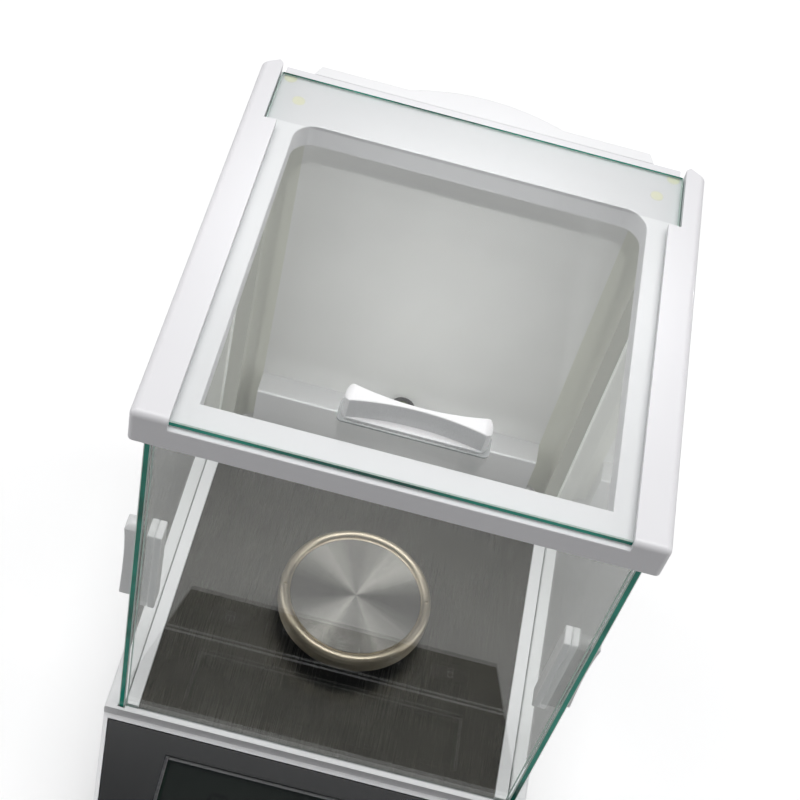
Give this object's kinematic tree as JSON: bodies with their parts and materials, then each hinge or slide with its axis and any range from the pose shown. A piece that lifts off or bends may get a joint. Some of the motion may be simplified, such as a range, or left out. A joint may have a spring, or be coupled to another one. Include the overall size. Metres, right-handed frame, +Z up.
{
  "type": "analytical balance",
  "caption": "Analytical balance with a glass draught shield: three sliding panes, round steel pan, sloping console with display and keys, levelling feet.",
  "frame": {"origin": "middle of the footprint on the bench, at the feet", "axes": "+X to the right seen from the front, +Y to the rear, +Z up"},
  "size_m": [0.2258, 0.34, 0.35],
  "materials": {
    "white_abs": "moulded, fine satin",
    "frame_white": "moulded, satin gloss",
    "pull_white": "moulded, gloss",
    "wall_gloss": "polished",
    "console_black": "gloss overlay",
    "display_glass": "smoked clear",
    "lcd": "grey green display",
    "board_green": "circuit board",
    "key_black": "satin",
    "post_beige": "moulded, satin",
    "level_black": "satin",
    "level_clear": "clear",
    "pane_glass": "float glass, polished edges",
    "clear_pad": "clear adhesive",
    "dot_rubber": "translucent",
    "runner_plastic": "smooth",
    "floor_steel": "brushed front to back",
    "pan_steel": "turned",
    "plate_cast": "as cast",
    "cell_cast": "machined",
    "pot_iron": "machined",
    "copper": "enamelled wire",
    "sensor_black": "moulded",
    "brass": "turned",
    "zinc_steel": "zinc plated",
    "shield_sheet": "sheet",
    "core_iron": "varnished laminations",
    "cable_grey": "flat cable",
    "foot_rubber": "moulded"
  },
  "bodies": {
    "balance": {"base_housing": "white_abs", "base_plate": "plate_cast", "cell_cover": "shield_sheet", "cell_frame": "cell_cast", "chamber_floor": "floor_steel", "corner_posts": "post_beige", "display_board": "board_green", "display_panel": "console_black", "display_window": "display_glass", "door_runners": "runner_plastic", "fasteners": "zinc_steel", "foot_inserts": "brass", "front_glass": "pane_glass", "inlet_blades": "brass", "key_panel": "console_black", "lcd_module": "lcd", "ledge_dots": "dot_rubber", "level_holder": "level_black", "level_vial": "level_clear", "magnet": "pot_iron", "magnet_pot": "pot_iron", "main_board": "board_green", "mains_inlet": "sensor_black", "position_sensor": "sensor_black", "rear_column": "white_abs", "rear_feet": "foot_rubber", "rear_shelf": "white_abs", "rear_wall": "wall_gloss", "ribbon_cable": "cable_grey", "serial_port": "zinc_steel", "spill_collar": "white_abs", "switch_housing": "sensor_black", "top_frame": "frame_white", "transformer": "core_iron"},
    "left_door": {"left_door_glass": "pane_glass", "left_outer_pull": "pull_white", "left_inner_pull": "pull_white"},
    "right_door": {"right_door_glass": "pane_glass", "right_outer_pull": "pull_white", "right_inner_pull": "pull_white"},
    "top_door": {"top_door_glass": "pane_glass", "top_pull_pad": "clear_pad", "top_pull": "pull_white"},
    "pan": {"weighing_pan": "pan_steel", "pan_hub": "pan_steel"},
    "carrier": {"load_carrier": "cell_cast"},
    "lever": {"balance_lever": "cell_cast", "coil_winding": "copper"},
    "upper_arm": {"upper_guide": "cell_cast"},
    "lower_arm": {"lower_guide": "cell_cast"},
    "rocker": {"switch_rocker": "sensor_black"},
    "left_foot": {"left_foot_pad": "foot_rubber"},
    "right_foot": {"right_foot_pad": "foot_rubber"},
    "left_screw": {"left_foot_screw": "zinc_steel"},
    "right_screw": {"right_foot_screw": "zinc_steel"},
    "key_power": {"key_power": "key_black"},
    "key_calibrate": {"key_calibrate": "key_black"},
    "key_unit": {"key_unit": "key_black"},
    "key_print": {"key_print": "key_black"},
    "key_tare": {"key_tare": "key_black"}
  },
  "joints": [
    {"name": "left_door_slide", "type": "slide", "parent": "balance", "child": "left_door", "axis": [0, 1, 0], "range_m": [0, 0.138]},
    {"name": "right_door_slide", "type": "slide", "parent": "balance", "child": "right_door", "axis": [0, 1, 0], "range_m": [0, 0.138]},
    {"name": "top_door_slide", "type": "slide", "parent": "balance", "child": "top_door", "axis": [0, 1, 0], "range_m": [0, 0.145]},
    {"name": "carrier_travel", "type": "slide", "parent": "balance", "child": "carrier", "axis": [0, 0, 1], "range_m": [-0.0003, 0.0001], "stiffness_N_per_m": 20000, "springref_m": 0.00008},
    {"name": "pan_lift", "type": "slide", "parent": "carrier", "child": "pan", "axis": [0, 0, 1], "range_m": [0, 0.03]},
    {"name": "lever_tilt", "type": "hinge", "parent": "balance", "child": "lever", "pos_m": [0, 0.046, 0.055], "axis": [1, 0, 0], "range_deg": [-0.6, 1.6]},
    {"name": "upper_arm_tilt", "type": "hinge", "parent": "balance", "child": "upper_arm", "pos_m": [0, 0.086, 0.074], "axis": [1, 0, 0], "range_deg": [-0.15, 0.35]},
    {"name": "lower_arm_tilt", "type": "hinge", "parent": "balance", "child": "lower_arm", "pos_m": [0, 0.086, 0.04], "axis": [1, 0, 0], "range_deg": [-0.15, 0.35]},
    {"name": "power_rocker_tilt", "type": "hinge", "parent": "balance", "child": "rocker", "pos_m": [0.05, 0.163, 0.048], "axis": [1, 0, 0], "range_deg": [0, 16]},
    {"name": "key_power_press", "type": "slide", "parent": "balance", "child": "key_power", "axis": [0, 0.3261, -0.9453], "range_m": [0, 0.0012], "stiffness_N_per_m": 600, "springref_m": -0.0008},
    {"name": "key_calibrate_press", "type": "slide", "parent": "balance", "child": "key_calibrate", "axis": [0, 0.3261, -0.9453], "range_m": [0, 0.0012], "stiffness_N_per_m": 600, "springref_m": -0.0008},
    {"name": "key_unit_press", "type": "slide", "parent": "balance", "child": "key_unit", "axis": [0, 0.3261, -0.9453], "range_m": [0, 0.0012], "stiffness_N_per_m": 600, "springref_m": -0.0008},
    {"name": "key_print_press", "type": "slide", "parent": "balance", "child": "key_print", "axis": [0, 0.3261, -0.9453], "range_m": [0, 0.0012], "stiffness_N_per_m": 600, "springref_m": -0.0008},
    {"name": "key_tare_press", "type": "slide", "parent": "balance", "child": "key_tare", "axis": [0, 0.3261, -0.9453], "range_m": [0, 0.0012], "stiffness_N_per_m": 600, "springref_m": -0.0008},
    {"name": "left_foot_height", "type": "slide", "parent": "balance", "child": "left_foot", "axis": [0, 0, 1], "range_m": [-0.004, 0.0025]},
    {"name": "left_screw_turn", "type": "hinge", "parent": "left_foot", "child": "left_screw", "pos_m": [-0.082, -0.128, 0.01], "axis": [0, 0, 1], "range_deg": [-1150, 715]},
    {"name": "right_foot_height", "type": "slide", "parent": "balance", "child": "right_foot", "axis": [0, 0, 1], "range_m": [-0.004, 0.0025]},
    {"name": "right_screw_turn", "type": "hinge", "parent": "right_foot", "child": "right_screw", "pos_m": [0.082, -0.128, 0.01], "axis": [0, 0, 1], "range_deg": [-1150, 715]}
  ],
  "couplings": [
    {"joint": "lever_tilt", "follows": "carrier_travel", "rad_per_m": -83.333},
    {"joint": "upper_arm_tilt", "follows": "carrier_travel", "rad_per_m": -17.094},
    {"joint": "lower_arm_tilt", "follows": "carrier_travel", "rad_per_m": -17.094},
    {"joint": "left_foot_height", "follows": "left_screw_turn", "m_per_rad": 0.00019894},
    {"joint": "right_foot_height", "follows": "right_screw_turn", "m_per_rad": 0.00019894}
  ]
}
